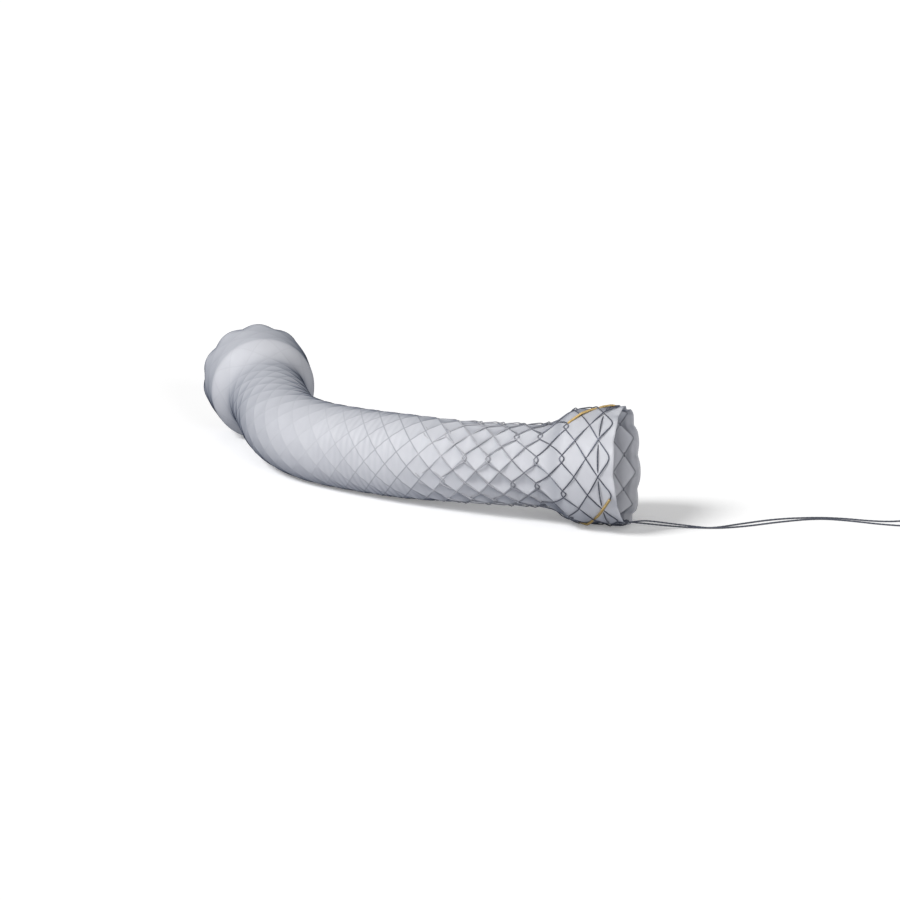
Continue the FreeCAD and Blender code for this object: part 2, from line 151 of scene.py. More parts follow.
class Tube:
    """The bent tube that everything lies on: distance along it, angle round it and radius give a point."""

    def __init__(self, sizes):
        self.sizes = sizes
        self.columns = 2 * sizes.cells_around
        self.step = 2 * math.pi / self.columns
        self.head = sizes.head_rows
        self.shoulder = self.head + sizes.link_rows
        self.last = 2 * self.shoulder + sizes.body_rows
        self.head_length = sizes.rim_margin + self.head * sizes.head_pitch
        self.length = 2 * self.head_length + 2 * sizes.link_rows * sizes.link_pitch
        self.length += sizes.body_rows * sizes.body_pitch
        level_axis = Vector((math.cos(sizes.rest_bearing), math.sin(sizes.rest_bearing), 0))
        self.turn = np.array(Matrix.Rotation(sizes.rest_turn, 3, level_axis))
        self.stretches = [
            (sizes.entry_length, 0.0),
            (sizes.wide_radius * sizes.wide_angle, 1 / sizes.wide_radius),
            (sizes.tight_radius * sizes.tight_angle, 1 / sizes.tight_radius),
            (self.length, 0.0),
        ]
        front, _ = self.entry_frame(np.array([self.stretches[0][0] + self.stretches[1][0]]))
        self.front_slope = math.atan2(front[0, 1], front[0, 0])
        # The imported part's knot shows how far the tube was moved after its roll
        self.shift = np.zeros(3)
        self.shift = knot_ball()[0] - self.at(*knot_place(self))

    def row_distance(self, rows):
        """Distance along the tube of rows of crossings: their pitches added up from the nearer end."""
        s = self.sizes
        near = np.minimum(rows, self.last - rows)
        reach = s.rim_margin + np.minimum(near, self.head) * s.head_pitch
        reach = reach + np.clip(near - self.head, 0, s.link_rows) * s.link_pitch
        reach = reach + np.maximum(near - self.shoulder, 0) * s.body_pitch
        return np.where(rows <= self.last / 2, reach, self.length - reach)

    def row_at(self, distance):
        """Row number at distances along the tube, the inverse of row_distance, past both last rows too."""
        rows = np.arange(-1, self.last + 2)
        inner = self.row_distance(np.clip(rows, 0, self.last))
        past = (np.clip(rows, 0, self.last) - rows) * self.sizes.head_pitch
        return np.interp(distance, inner - past, rows)

    def mean_radius(self, distance):
        """Mean radius of the mesh: a cone in a head, then the body plus a bell curve from the shoulder."""
        s = self.sizes
        end = np.minimum(distance, self.length - distance)
        proud = s.crossing_rise + s.wire_diameter / 2
        mouth, body = s.head_diameter / 2 - proud, s.body_diameter / 2 - proud
        past = np.maximum(end - self.head_length, 0) / s.flare_reach
        bell = body + (mouth - s.head_taper - body) * np.exp(-past ** s.flare_power)
        return np.where(end <= self.head_length, mouth - s.head_taper * end / self.head_length, bell)

    def entry_frame(self, distance):
        """Centreline points and headings: each stretch adds a straight step or an arc's chord."""
        start, heading = 0.0, 0.0
        at, bearing = np.zeros((len(distance), 2)), np.zeros(len(distance))
        for length, bend in self.stretches:
            step = np.minimum(distance - start, length)
            if start > 0:
                step = np.maximum(step, 0)
            if bend:
                after = heading + step * bend
                at[:, 0] += (np.sin(after) - math.sin(heading)) / bend
                at[:, 1] += (math.cos(heading) - np.cos(after)) / bend
                bearing += step * bend
            else:
                at[:, 0] += step * math.cos(heading)
                at[:, 1] += step * math.sin(heading)
            start += length
            heading += length * bend
        return at, bearing

    def at(self, distance, angle, radius):
        """Points at distances along, angles above the belly side and radii, with the tube at rest."""
        distance, angle, radius = np.broadcast_arrays(distance, angle, radius)
        shape = distance.shape
        along, bearing = self.entry_frame(distance.ravel().astype(float))
        c, s = math.cos(self.front_slope), math.sin(self.front_slope)
        middle = np.stack([-(along @ [c, s]), along @ [-s, c], 0 * bearing], axis=-1)
        points = middle + self.level_radial(bearing, angle.ravel()) * radius.reshape(-1, 1)
        return (points @ self.turn.T + self.shift).reshape(*shape, 3)

    def level_radial(self, bearing, angle):
        """Outward unit vectors before the tube is laid down: minus cosine inwards plus sine upwards."""
        bearing = bearing - self.front_slope
        inside = np.stack([np.sin(bearing), np.cos(bearing), 0 * bearing], axis=-1)
        return -np.cos(angle)[:, None] * inside + np.sin(angle)[:, None] * UP

    def outward(self, distance, angle):
        """Outward unit vectors of the tube as it lies."""
        distance, angle = np.broadcast_arrays(distance, angle)
        _, bearing = self.entry_frame(distance.ravel().astype(float))
        return (self.level_radial(bearing, angle.ravel()) @ self.turn.T).reshape(*distance.shape, 3)

    def column_angle(self, columns):
        return self.sizes.first_column + self.step * columns

    def column_at(self, angle):
        return (angle - self.sizes.first_column) / self.step


# Places near the mouth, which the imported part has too
KNOT_REACH = 0.6 * MM
KNOT_INSET = 0.4 * MM
KNOT_TURN = math.radians(11.5)
TIE_COLUMN = -3
SUTURE_ROW = 1


def knot_place(tube):
    """Distance, angle and radius of the middle of the knot, just outside the near mouth's edge."""
    angle = tube.column_angle(TIE_COLUMN) + KNOT_TURN
    return -KNOT_REACH, angle, tube.mean_radius(0.0) - KNOT_INSET


def knot_ball():
    """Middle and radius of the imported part's knot."""
    lowest, highest = (np.array(corner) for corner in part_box("string_knot"))
    return (lowest + highest) / 2, (highest[0] - lowest[0]) / 2


# Meshes
def curve_through(points, steps, closed):
    """Catmull-Rom curve: each span is a cubic whose end slopes are half the chord between neighbours."""
    if not closed:
        points = np.concatenate([2 * points[:1] - points[1:2], points, 2 * points[-1:] - points[-2:-1]])
    before, here = np.roll(points, 1, 0), points
    after, beyond = np.roll(points, -1, 0), np.roll(points, -2, 0)
    t = (np.arange(steps) / steps)[None, :, None]
    p0, p1, p2, p3 = (p[:, None, :] for p in (before, here, after, beyond))
    curve = 0.5 * (2 * p1 + (p2 - p0) * t + (2 * p0 - 5 * p1 + 4 * p2 - p3) * t ** 2
                   + (3 * p1 - p0 - 3 * p2 + p3) * t ** 3)
    if closed:
        return curve.reshape(-1, points.shape[1])
    return np.concatenate([curve[1:-2].reshape(-1, points.shape[1]), points[-2:-1]])


def carried_rings(path, outward, radius, sides, closed):
    """Rings carried along a path: its point plus the radius times cosine lift and sine side."""
    ahead = np.roll(path, -1, 0)
    behind = np.roll(path, 1, 0)
    if not closed:
        ahead[-1], behind[0] = path[-1], path[0]
    along = unit(ahead - behind)
    side = unit(np.cross(outward, along))
    lift = np.cross(along, side)
    around = 2 * math.pi * np.arange(sides) / sides
    radius = np.broadcast_to(radius, (len(path), sides))[..., None]
    spoke = np.cos(around)[None, :, None] * lift[:, None] + np.sin(around)[None, :, None] * side[:, None]
    return path[:, None] + radius * spoke


def run_length(path, closed):
    """Distance along a path at each of its points, and at its first again where it's closed."""
    line = np.concatenate([path, path[:1]]) if closed else path
    return np.concatenate([[0.0], np.cumsum(np.linalg.norm(np.diff(line, axis=0), axis=1))])


def add_grid(name, grid, closed_along, uv, material, slant=None):
    """Mesh of a grid of points that closes round its second side; an open one gets a cap at each end.

    uv has one more row or column where the grid closes. With slant each cell is two triangles, and slant
    says on which diagonal they meet; without it a cell is one quad."""
    rows, sides = grid.shape[:2]
    spans = rows if closed_along else rows - 1
    i, j = (part.ravel() for part in np.meshgrid(np.arange(spans), np.arange(sides), indexing="ij"))
    corner_i = np.stack([i, i + 1, i + 1, i], axis=1)
    corner_j = np.stack([j, j, j + 1, j + 1], axis=1)
    if slant is not None:
        turned = np.where(slant.ravel()[:, None], np.arange(4), np.roll(np.arange(4), -1))
        corner_i, corner_j = (np.take_along_axis(part, turned, 1) for part in (corner_i, corner_j))
        corner_i, corner_j = (part[:, [0, 1, 2, 0, 2, 3]].reshape(-1, 3) for part in (corner_i, corner_j))
    loops = (corner_i % rows) * sides + corner_j % sides
    loop_uv = uv[corner_i, corner_j]
    a, b, c = (grid.reshape(-1, 3)[loops[:, k]] for k in range(3))
    flipped = np.einsum("ij,ij->", a - a.mean(0), np.cross(b - a, c - a)) < 0
    if flipped:
        loops, loop_uv = loops[:, ::-1], loop_uv[:, ::-1]
    counts = np.full(len(loops), loops.shape[1])
    loops, loop_uv = loops.ravel(), loop_uv.reshape(-1, 2)
    if not closed_along:
        ring = np.arange(sides)
        caps = [ring, ring[::-1] + (rows - 1) * sides]
        if flipped:
            caps = [cap[::-1] for cap in caps]
        loops = np.concatenate([loops, *caps])
        loop_uv = np.concatenate([loop_uv, np.zeros((2 * sides, 2))])
        counts = np.append(counts, [sides, sides])
    mesh = bpy.data.meshes.new(name)
    mesh.vertices.add(rows * sides)
    mesh.vertices.foreach_set("co", grid.astype(np.float32).ravel())
    mesh.loops.add(len(loops))
    mesh.loops.foreach_set("vertex_index", loops.astype(np.int32))
    mesh.polygons.add(len(counts))
    mesh.polygons.foreach_set("loop_start", (np.cumsum(counts) - counts).astype(np.int32))
    mesh.polygons.foreach_set("use_smooth", np.ones(len(counts), bool))
    mesh.uv_layers.new(name="run").data.foreach_set("uv", loop_uv.astype(np.float32).ravel())
    mesh.update(calc_edges=True)
    mesh.materials.append(material)
    piece = bpy.data.objects.new(name, mesh)
    bpy.context.scene.collection.objects.link(piece)
    return piece


def add_tube(name, path, outward, radius, sides, closed, material):
    """Tube carried along a path, with its length and its girth as UVs."""
    grid = carried_rings(path, outward, radius, sides, closed)
    girth = 2 * math.pi * float(np.mean(radius))
    run, around = np.meshgrid(run_length(path, closed), np.linspace(0, girth, sides + 1), indexing="ij")
    return add_grid(name, grid, closed, np.stack([run, around], axis=-1), material)


def set_attribute(piece, name, values):
    """Number at each point of a piece, which its material reads."""
    attribute = piece.data.attributes.new(name, "FLOAT", "POINT")
    attribute.data.foreach_set("value", values.astype(np.float32))


def join(name, pieces):
    """One piece made of several meshes."""
    with bpy.context.temp_override(active_object=pieces[0], selected_editable_objects=pieces):
        bpy.ops.object.join()
    pieces[0].name = name
    pieces[0].data.name = name
    return pieces[0]


def finish_piece(piece, slot, *nodes):
    """The piece rides on the stent's body and stands for its CAD nodes; slot is not used."""
    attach(piece, BODY)
    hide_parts(*nodes)
    return piece


# Materials
def new_material(name):
    """Empty material and its node tree."""
    material = bpy.data.materials.new(name)
    material.use_nodes = True
    material.node_tree.nodes.clear()
    return material, material.node_tree


def add_node(tree, kind, inputs=None, **settings):
    """Adds a shader node: its settings, then values, sockets or nodes for its inputs.

    A node given as an input stands for the first of its outputs that is in use."""
    node = tree.nodes.new("ShaderNode" + kind)
    for name, value in settings.items():
        setattr(node, name, value)
    for name, value in (inputs or {}).items():
        if isinstance(value, bpy.types.Node):
            value = next(output for output in value.outputs if output.enabled)
        if isinstance(value, bpy.types.NodeSocket):
            tree.links.new(value, node.inputs[name])
        else:
            node.inputs[name].default_value = value
    return node


def streaks(tree, length, width):
    """Noise drawn out along a wire or thread, whose UVs are its run and its girth."""
    run = add_node(tree, "TexCoord").outputs["UV"]
    drawn = add_node(tree, "Mapping", {"Vector": run, "Scale": (1 / length, 1 / width, 1.0)})
    return add_node(tree, "TexNoise", {"Vector": drawn, "Scale": 1.0, "Detail": 2.0})


def silicone(colours, tube):
    """Silicone elastomer, dip coated over the mesh: milky, smooth and slightly glossy.

    It is clouded where it ran thicker, and the dark wires show through it, most of all from inside."""
    material, tree = new_material("silicone_dip_coated")
    place = add_node(tree, "TexCoord").outputs["Object"]
    # The cover's UVs count rows and columns of crossings, so the wires are the lines where half their sum
    # or half their difference is whole, CELL_WIDTH apart
    cell = add_node(tree, "SeparateXYZ", {0: add_node(tree, "TexCoord").outputs["UV"]})
    row, column = cell.outputs["X"], cell.outputs["Y"]
    near_wire = []
    for operation in ("ADD", "SUBTRACT"):
        across = add_node(tree, "Math", {0: column, 1: row}, operation=operation)
        off = add_node(tree, "Math", {0: across, 1: 1.0}, operation="PINGPONG")
        near_wire.append(add_node(tree, "MapRange", {
            "Value": off, "From Min": 2 * WIRE_SHOW / CELL_WIDTH, "From Max": 0.0},
            interpolation_type="SMOOTHSTEP"))
    # They lie between the first and the last row, and show as far as the veil lets them
    shown = add_node(tree, "Math", {0: near_wire[0], 1: near_wire[1]}, operation="MAXIMUM")
    started = add_node(tree, "Math", {0: row, 1: 0.0}, operation="GREATER_THAN")
    ended = add_node(tree, "Math", {0: row, 1: float(tube.last)}, operation="LESS_THAN")
    veil = add_node(tree, "Attribute", attribute_name="veil").outputs["Fac"]
    for factor in (started, ended, veil):
        shown = add_node(tree, "Math", {0: shown, 1: factor}, operation="MULTIPLY")
    # Clouds about 5 mm across, from uneven draining after the dip
    cloud = add_node(tree, "TexNoise", {"Vector": place, "Scale": 1 / (5 * MM), "Detail": 3.0})
    milk = add_node(tree, "Mix", {"Factor": cloud, "A": tuple(colours.cover_shade),
                                  "B": tuple(colours.cover)}, data_type="RGBA")
    tint = add_node(tree, "Mix", {"Factor": shown, "A": milk, "B": tuple(colours.wire_veil)},
                    data_type="RGBA")
    # Fine wrinkles about 0.8 mm apart, from the silicone's shrinking as it cures
    wrinkle = add_node(tree, "TexNoise", {"Vector": place, "Scale": 1 / (0.8 * MM), "Detail": 2.0})
    relief = add_node(tree, "Bump", {"Height": wrinkle, "Strength": 0.25, "Distance": 0.05 * MM})
    gloss = add_node(tree, "MapRange", {"Value": cloud, "To Min": 0.36, "To Max": 0.5})
    # The coat bends no light: it only takes some up, the more the longer its way through the outer film
    shader = add_node(tree, "BsdfPrincipled", {
        "Base Color": tint, "Roughness": gloss, "Normal": relief, "IOR": 1.41, "Specular IOR Level": 0.25,
        "Subsurface Weight": 0.4, "Subsurface Radius": (1.0, 1.0, 1.0), "Subsurface Scale": 0.5 * MM,
        "Coat Weight": 1.0, "Coat Roughness": 0.3, "Coat IOR": 1.0, "Coat Tint": tuple(colours.film)})
    add_node(tree, "OutputMaterial", {"Surface": shader})
    return material


def nitinol(colours):
    """Nickel titanium wire, drawn and heat set: a dark slate oxide with fine draw lines along the wire.

    The dip leaves a milky coat on it, which gets thicker away from the near head."""
    material, tree = new_material("nitinol_drawn_oxidised")
    place = add_node(tree, "TexCoord").outputs["Object"]
    # The oxide's thickness varies over 2.5 mm
    oxide = add_node(tree, "TexNoise", {"Vector": place, "Scale": 1 / (2.5 * MM), "Detail": 2.0})
    dark = tuple(colours.wire)
    pale = tuple(0.6 * part + 0.4 * glint for part, glint in zip(dark, colours.wire_glint))
    tint = add_node(tree, "Mix", {"Factor": oxide, "A": dark, "B": pale}, data_type="RGBA")
    coat = add_node(tree, "Attribute", attribute_name="coat").outputs["Fac"]
    milk = add_node(tree, "MapRange", {"Value": coat, "To Max": 0.62})
    tint = add_node(tree, "Mix", {"Factor": milk, "A": tint, "B": tuple(colours.cover_shade)},
                    data_type="RGBA")
    metal = add_node(tree, "MapRange", {"Value": coat, "To Min": 0.85, "To Max": 0.2})
    # Draw lines 0.03 mm wide and 2 mm long
    lines = streaks(tree, 2 * MM, 0.03 * MM)
    gloss = add_node(tree, "MapRange", {"Value": lines, "To Min": 0.3, "To Max": 0.5})
    relief = add_node(tree, "Bump", {"Height": lines, "Strength": 0.2, "Distance": 0.01 * MM})
    shader = add_node(tree, "BsdfPrincipled", {
        "Base Color": tint, "Metallic": metal, "Roughness": gloss, "Normal": relief})
    add_node(tree, "OutputMaterial", {"Surface": shader})
    return material


def gold(colours):
    """Gold wire, drawn and wound: warm and satin, with dull patches where it was handled."""
    material, tree = new_material("gold_wound_wire")
    place = add_node(tree, "TexCoord").outputs["Object"]
    # Handling marks about 0.2 mm across
    marks = add_node(tree, "TexNoise", {"Vector": place, "Scale": 1 / (0.2 * MM), "Detail": 2.0})
    gloss = add_node(tree, "MapRange", {"Value": marks, "To Min": 0.36, "To Max": 0.52})
    bright = tuple(colours.marker)
    dull = tuple(0.8 * part for part in bright[:3]) + (1.0,)
    tint = add_node(tree, "Mix", {"Factor": marks, "A": dull, "B": bright}, data_type="RGBA")
    shader = add_node(tree, "BsdfPrincipled", {"Base Color": tint, "Metallic": 1.0, "Roughness": gloss})
    add_node(tree, "OutputMaterial", {"Surface": shader})
    return material


def thread(colours):
    """Polyester thread, dyed and braided: matt, with a soft sheen and paler filaments where it rubs."""
    material, tree = new_material("polyester_braided")
    # Filaments 0.02 mm wide and 0.3 mm long
    fibres = streaks(tree, 0.3 * MM, 0.02 * MM)
    dark = tuple(colours.thread)
    pale = tuple(0.75 * part + 0.25 * rub for part, rub in zip(dark, colours.thread_rub))
    tint = add_node(tree, "Mix", {"Factor": fibres, "A": dark, "B": pale}, data_type="RGBA")
    relief = add_node(tree, "Bump", {"Height": fibres, "Strength": 0.3, "Distance": 0.01 * MM})
    shader = add_node(tree, "BsdfPrincipled", {
        "Base Color": tint, "Roughness": 0.7, "Sheen Weight": 0.2, "Normal": relief})
    add_node(tree, "OutputMaterial", {"Surface": shader})
    return material


# Knitting
def is_hook(tube, row, column):
    """Whether the two wires that meet here hook round each other instead of crossing."""
    if row in (0, tube.last):
        return True
    if row % 2:
        return False
    if row in (tube.head, tube.shoulder, tube.last - tube.shoulder, tube.last - tube.head):
        return True
    if not tube.shoulder < row < tube.last - tube.shoulder:
        return False
    cell = column // 2 % tube.sizes.cells_around
    if cell in (tube.sizes.seam_column, tube.sizes.seam_column + 1):
        return False
    return (cell + (row + 2) // 4) % 2 == 0


def wire_walks(tube):
    """Closed walks of the wires over the mesh: arrays of row, column, direction arriving and hook."""
    seen, walks = set(), []
    for row in range(tube.last + 1):
        for column in range(row % 2, tube.columns, 2):
            for direction in (1, -1):
                state = (row, column, direction)
                if state in seen or (row in (0, tube.last) and direction != (1 if row else -1)):
                    continue
                walk = []
                while state not in seen:
                    seen.add(state)
                    at, col, going = state
                    hooked = is_hook(tube, at, col)
                    walk.append((at, col, going, hooked))
                    going = -going if hooked else going
                    state = (at + going, (col + 1) % tube.columns, going)
                walks.append(np.array(walk))
    return walks


# Points along a leg between two crossings, and the share of a half cell from a crossing to its first point
LEG_POINTS = 4
CROSSING_STOP = 0.07


def wire_stops(tube, walk):
    """Distance, angle and lift of points along a walk: before, on and past a crossing, then along the leg.

    A crossing is passed straight, over or under by the crossing rise. At a hook the three points make its
    loop. Along a leg the lift goes to nought halfway by the root of a cosine, and then to the next one."""
    s = tube.sizes
    row, column, direction, hooked = walk.T
    rim = (row == 0) | (row == tube.last)
    plain = hooked == 0
    distance, angle = tube.row_distance(row), tube.column_angle(column)
    radius = tube.mean_radius(distance)
    rise = np.where(rim, 0.0, s.crossing_rise * direction * np.where(row % 2 == 0, 1, -1))
    pitch = np.abs(np.roll(distance, -1) - distance)
    half_width = np.where(rim, s.rim_bend_half_width, s.hook_half_width) / radius
    spread = np.where(plain, CROSSING_STOP * tube.step, half_width)
    back = np.where(rim, -direction * s.rim_bend_reach, 0.0)
    arrive = np.where(plain, -CROSSING_STOP * direction * pitch, back)
    depart = np.where(plain, CROSSING_STOP * direction * pitch, back)
    tip = np.where(plain | rim, 0.0, direction * s.hook_reach)
    turned = np.where(plain, rise, -rise)
    before = np.stack([distance + arrive, angle - spread, rise], axis=1)
    middle = np.stack([distance + tip, angle, np.where(plain, rise, 0.0)], axis=1)
    past = np.stack([distance + depart, angle + spread, turned], axis=1)
    following = np.roll(before, -1, 0)
    step = following[:, :2] - past[:, :2]
    step[:, 1] %= 2 * math.pi
    share = (np.arange(1, LEG_POINTS + 1) / (LEG_POINTS + 1))[None, :]
    leg = np.stack([past[:, :1] + step[:, :1] * share, past[:, 1:2] + step[:, 1:2] * share,
                    (turned[:, None] * (1 - share) + following[:, 2:] * share)
                    * np.abs(np.cos(math.pi * share)) ** 0.5], axis=-1)
    return np.concatenate([before[:, None], middle[:, None], past[:, None], leg], axis=1)


def wire_path(tube, stops, steps, closed):
    """Path through stops on the tube, with its outward vectors and its distances along the tube."""
    stops = stops.reshape(-1, 3)
    points = tube.at(stops[:, 0], stops[:, 1], tube.mean_radius(stops[:, 0]) + stops[:, 2])
    outward = tube.outward(stops[:, 0], stops[:, 1])
    all_three = curve_through(np.concatenate([points, outward, stops[:, :1]], axis=1), steps, closed)
    return all_three[:, :3], unit(all_three[:, 3:6]), all_three[:, 6]


def wire_node(tube, walk, taken):
    """CAD node of a wire, named after the stretch of the mesh that it knits."""
    low, high = walk[:, 0].min(), walk[:, 0].max()
    places = [
        ("near_head_wire", high <= tube.head),
        ("near_shoulder_wire", high <= tube.shoulder),
        ("far_head_wire", low >= tube.last - tube.head),
        ("far_shoulder_wire", low >= tube.last - tube.shoulder),
        ("body_wire", True),
    ]
    stem = next(name for name, fits in places if fits)
    taken[stem] = taken.get(stem, 0) + 1
    return f"{stem}_{taken[stem]}"


WIRE_SIDES = 8
WIRE_STEPS = 3
# Rows between which the wires get their milky coat
COAT_ROWS = (2, 14)


class STENT_OT_wires(bpy.types.Operator):
    """Knit the wires: round wire that hooks and crosses, one closed loop to each CAD wire."""

    bl_idname = "stent.wires"
    bl_label = "Wires"

    def execute(self, context):
        scene = context.scene
        tube = Tube(scene.stent_sizes)
        material = nitinol(scene.stent_colours)
        taken = {}
        for walk in wire_walks(tube):
            node = wire_node(tube, walk, taken)
            path, outward, distance = wire_path(tube, wire_stops(tube, walk), WIRE_STEPS, True)
            wire = add_tube(node + "_knit", path, outward, tube.sizes.wire_diameter / 2, WIRE_SIDES, True,
                            material)
            set_attribute(wire, "coat", np.repeat(smooth_step(tube, distance, COAT_ROWS), WIRE_SIDES))
            finish_piece(wire, "nitinol_wire", node)
        return {"FINISHED"}


# Cover
# Steps of the cover in each half cell, round and along, and how many at a time its lining takes in the body
COVER_AROUND = 8
COVER_ALONG = 8
LINING_STEP = 4
# Across a cell from wire to wire, and how far beside a wire it shows through
CELL_WIDTH = 3.76 * MM
WIRE_SHOW = 0.22 * MM
# Rows between which the film comes over the wires, the wires sink under the face, and the milk hides them
FILM_ROWS = (10, 20)
SINK_ROWS = (7, 13)
VEIL_ROWS = (16, 28)
# How clearly the wires show through the lining, what the far end takes off, and what the thicker face does
LINING_VEIL = 0.65
FAR_VEIL_LOSS = 0.49
FACE_VEIL_LOSS = 0.1
# How far the lining bulges in a cell, coats the wires, and rises on those of a head, over their markers too
LINING_PILLOW = 0.35 * MM
LINING_COAT = 0.08 * MM
LINING_RIDGE = 0.17 * MM
# How low a cell's tent is on a wire, and how near that wire's end is to a row
ON_WIRE = 0.01
# The quilting: how round a cell's sag is, how much it varies, a large sine that varies it, how far past a
# head it reaches its full depth, in shoulders, and the share of it that the film fills
TENT_POWER = 0.6
UNEVEN = 0.5
SCATTER_AROUND = 12.9898
SCATTER_ALONG = 78.233
SCATTER_SIZE = 43758.5453
SAG_REACH = 3
FILM_FILL = 0.85
# Creases round the belly: middle and spread in rows, pitch, depth, and how they wander round the tube
CREASE_ROW = 21
CREASE_SPREAD = 5
CREASE_PITCH = 1.5 * MM
CREASE_DEPTH = 0.07 * MM
CREASE_LOBES = 6
CREASE_WANDER = 0.8
# Scallops of a mouth: share of the rim margin that a notch takes, its pull inwards, and the reach of both
NOTCH_DEPTH = 0.4
RIM_PULL = 0.7 * MM
RIM_RANGE = 3.5 * MM


def cell_coordinates(tube, distance, angle):
    """Row, and the two coordinates that are whole along the two families of wires."""
    row, column = tube.row_at(distance), tube.column_at(angle)
    return row, (column + row) / 2, (column - row) / 2


def smooth_step(tube, distance, rows):
    """Nought before the first row, one past the second, three squares less two cubes between them."""
    share = np.clip((tube.row_at(distance) - rows[0]) / (rows[1] - rows[0]), 0, 1)
    return share * share * (3 - 2 * share)


def cell_tent(p, q):
    """One in the middle of a cell and nought along its wires: a power of the product of two sines."""
    return np.abs(np.sin(math.pi * p) * np.sin(math.pi * q)) ** TENT_POWER


def cell_depth(tube, p, q):
    """How deep each cell sags beside the others: the fraction of a large sine of its place.

    The place is counted round the tube and along it, so that it closes where the columns start again."""
    around, along = np.floor(p) + np.floor(q), np.floor(p) - np.floor(q)
    scatter = SCATTER_SIZE * np.sin(SCATTER_AROUND * (around % tube.columns) + SCATTER_ALONG * along)
    return 1 - UNEVEN / 2 + UNEVEN * (scatter - np.floor(scatter))


def film_height(tube, distance):
    """How much higher the face lies than at the near head."""
    s = tube.sizes
    return (s.cover_seat + s.cover_film) * smooth_step(tube, distance, FILM_ROWS)


def cover_lift(tube, distance, angle):
    """Height of the cover over the mesh's mean radius.

    It goes up from under the wires to over them as the film gets thicker. In a cell it sags by its tent,
    and creases run round the belly as a sine of the distance under a bell curve of the row."""
    s = tube.sizes
    row, p, q = cell_coordinates(tube, distance, angle)
    near = np.minimum(row, tube.last - row)
    blend = np.clip((near - tube.head) / (SAG_REACH * s.link_rows), 0, 1)
    sag = (s.head_sag + (s.body_sag - s.head_sag) * blend) * cell_depth(tube, p, q)
    sag = sag * (1 - FILM_FILL * smooth_step(tube, distance, FILM_ROWS)) * cell_tent(p, q)
    creased = np.exp(-((row - CREASE_ROW) / CREASE_SPREAD) ** 2) * np.cos(angle / 2) ** 2
    wander = CREASE_WANDER * np.sin(CREASE_LOBES * angle)
    crease = CREASE_DEPTH * creased * np.sin(2 * math.pi * distance / CREASE_PITCH + wander)
    return film_height(tube, distance) - s.cover_seat - sag + crease


def cover_point(tube, distance, angle, inset):
    """Point of the cover: mesh radius plus lift, less the pull of the scallops at a mouth and the inset.

    The lining stands further in where the film is thicker, bulges in each cell by the cell's tent, coats
    the wires, and rises to a ridge along those of a head, which hides their markers from inside."""
    s = tube.sizes
    row, p, q = cell_coordinates(tube, distance, angle)
    end = np.clip(np.minimum(distance, tube.length - distance), 0, None)
    scallop = 1 - np.abs(np.cos(math.pi * tube.column_at(angle) / 2))
    pull = RIM_PULL * scallop * np.clip(1 - end / RIM_RANGE, 0, 1) ** 2
    tent = cell_tent(p, q)
    pillow = LINING_PILLOW * tent * np.clip(end / s.rim_margin - 1, 0, 1)
    coat = LINING_COAT * np.clip(end / s.rim_margin, 0, 1)
    near = np.minimum(row, tube.last - row)
    on_head_wire = (tent < ON_WIRE) & (near > -ON_WIRE) & (near < tube.head)
    ridge = np.where(on_head_wire, LINING_RIDGE, 0.0)
    lining = s.cover_wall + film_height(tube, distance) + pillow + coat + ridge
    height = cover_lift(tube, distance, angle) - pull - inset / s.cover_wall * lining
    return tube.at(distance, angle, tube.mean_radius(distance) + height)


class STENT_OT_cover(bpy.types.Operator):
    """Dip the cover: a thin quilted wall that sags between the wires, scalloped at both mouths."""

    bl_idname = "stent.cover"
    bl_label = "Cover"

    def execute(self, context):
        scene = context.scene
        tube = Tube(scene.stent_sizes)
        s = tube.sizes
        columns = np.arange(tube.columns * COVER_AROUND + 1) / COVER_AROUND
        angle = tube.column_angle(columns)
        edge = NOTCH_DEPTH * s.rim_margin * (1 - np.abs(np.cos(math.pi * columns / 2)))
        rows = np.arange(0, tube.last * COVER_ALONG + 1) / COVER_ALONG
        # Distances of the skin's rings, with two more past the last row of each mouth
        base = np.concatenate([[0.0, 0.5 * s.rim_margin], tube.row_distance(rows)])
        base = np.append(base, tube.length - base[1::-1])
        fade = np.clip(1 - base / RIM_RANGE, 0, 1) - np.clip(1 - (tube.length - base) / RIM_RANGE, 0, 1)
        skin = base[:, None] + edge[None, :] * fade[:, None]
        # The lining goes back along the same rings, and in the body along every few of them
        reach = np.minimum(base, tube.length - base)
        kept = (reach < tube.head_length) | (np.arange(len(base)) % LINING_STEP == 0)
        distance = np.concatenate([skin, skin[kept][::-1]])
        inset = np.concatenate([np.zeros(len(skin)), np.full(kept.sum(), s.cover_wall)])
        grid = cover_point(tube, distance[:, :-1], angle[None, :-1], inset[:, None])
        # The UVs are rows and columns, and each quad folds on the diagonal that lies along its wire
        uv = np.stack(np.broadcast_arrays(tube.row_at(distance), columns[None, :]), axis=-1)
        uv = np.concatenate([uv, uv[:1]])
        middle = (uv[:-1, :-1] + uv[1:, 1:]) / 2
        off_p, off_q = (np.abs(part - np.round(part)) for part in (
            (middle[..., 1] + middle[..., 0]) / 2, (middle[..., 1] - middle[..., 0]) / 2))
        going_back = np.diff(uv[..., 0], axis=0)[:, :-1] < 0
        cover = add_grid("cover_skin", grid, True, uv, silicone(scene.stent_colours, tube),
                         slant=(off_q < off_p) ^ going_back)
        # Milk hides the wires more and more, and on the face they show only where they have sunk in
        hidden = smooth_step(tube, distance[:, 0], VEIL_ROWS)
        sunk = smooth_step(tube, distance[:, 0], SINK_ROWS)
        lining_veil = LINING_VEIL - FAR_VEIL_LOSS * hidden
        veil = np.where(inset > 0, lining_veil, sunk * (lining_veil - FACE_VEIL_LOSS))
        set_attribute(cover, "veil", np.repeat(veil, grid.shape[1]))
        finish_piece(cover, "silicone_cover", "cover")
        return {"FINISHED"}


